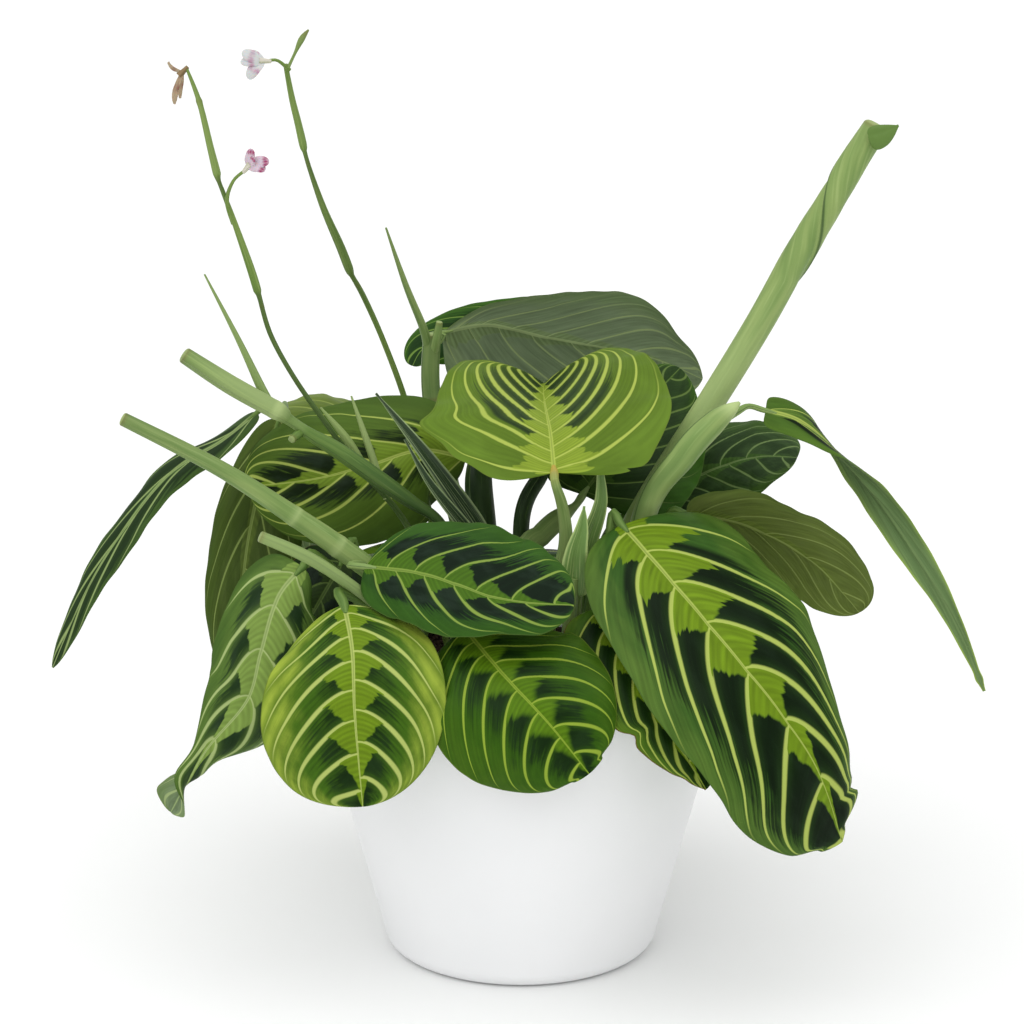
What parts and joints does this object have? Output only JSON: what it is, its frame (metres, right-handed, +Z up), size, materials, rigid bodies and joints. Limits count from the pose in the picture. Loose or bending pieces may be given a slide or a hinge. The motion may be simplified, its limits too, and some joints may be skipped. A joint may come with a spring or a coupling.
{
  "type": "potted prayer plant (maranta) in a plain white cover pot",
  "caption": "Prayer plant with patterned green leaves, pale cut stalks and small flower stems, in a plain matte white tapered pot.",
  "frame": {"origin": "centre of the pot's flat underside", "axes": "+Z up, +X to the right of a viewer who faces the plant's front, +Y away from that viewer"},
  "size_m": [0.3261, 0.2184, 0.3233],
  "materials": {
    "pot_white": "matte",
    "soil": "rough crumbly potting soil",
    "leaf_bright": "satin leaf with a pale feather band, arched pale veins and dark blotches",
    "leaf_dark": "satin dark leaf with near-black blotches and pale arched veins",
    "leaf_underside": "matte grey-green leaf underside with faint veins",
    "stalk_green": "satin pale green stalk with fine lengthwise streaks",
    "stalk_dark": "satin dark green stalk with pale stripes",
    "petal": "soft thin petal, white to lilac",
    "petal_withered": "dry brownish petal"
  },
  "bodies": {
    "root": {"leaf_front_left": "leaf_bright", "leaf_front_middle": "leaf_bright", "leaf_middle_front": "leaf_dark", "leaf_right_front": "leaf_dark", "leaf_centre": "leaf_bright", "leaf_back": "leaf_underside", "leaf_back_upper": "leaf_bright", "leaf_back_right": "leaf_dark", "leaf_right_back": "leaf_dark", "leaf_right_low": "leaf_underside", "leaf_far_right": "leaf_underside", "leaf_far_left": "leaf_dark", "leaf_left_back": "leaf_dark", "leaf_left_rear": "leaf_bright", "leaf_left_hanging": "leaf_underside", "leaf_left_curled": "leaf_bright", "leaf_left_low": "leaf_dark", "leaf_right_under": "leaf_bright", "leaf_low_back_left": "leaf_bright", "leaf_low_back_middle": "leaf_dark", "leaf_low_back_right": "leaf_bright", "leaf_arched_back_left": "leaf_dark", "leaf_arched_back_right": "leaf_bright", "stalk_front_left": "stalk_green", "stalk_front_middle": "stalk_green", "stalk_right_front": "stalk_green", "stalk_centre": "stalk_green", "stalk_back_upper": "stalk_dark", "stalk_back_right": "stalk_green", "stalk_right_back": "stalk_green", "stalk_right_low": "stalk_green", "stalk_left_back": "stalk_green", "stalk_left_rear": "stalk_green", "stalk_left_curled": "stalk_green", "stalk_left_low": "stalk_green", "stalk_right_under": "stalk_green", "stalk_low_back_left": "stalk_green", "stalk_low_back_middle": "stalk_green", "stalk_low_back_right": "stalk_green", "stalk_arched_back_left": "stalk_green", "stalk_arched_back_right": "stalk_green", "stalk_back": "stalk_green", "stalk_far_right": "stalk_green", "stem_left_cut": "stalk_green", "stem_left_upper": "stalk_green", "stem_right_rolled": "stalk_green", "stem_middle_dark": "stalk_dark", "sheath_middle_narrow": "stalk_green", "sheath_middle_wide": "stalk_green", "sheath_left_striped": "stalk_dark", "flower_stem_left": "stalk_green", "flower_stem_middle": "stalk_green", "flower_left": "petal", "flower_middle": "petal", "flower_left_withered": "petal_withered", "pot": "pot_white", "soil": "soil"}
  },
  "joints": []
}
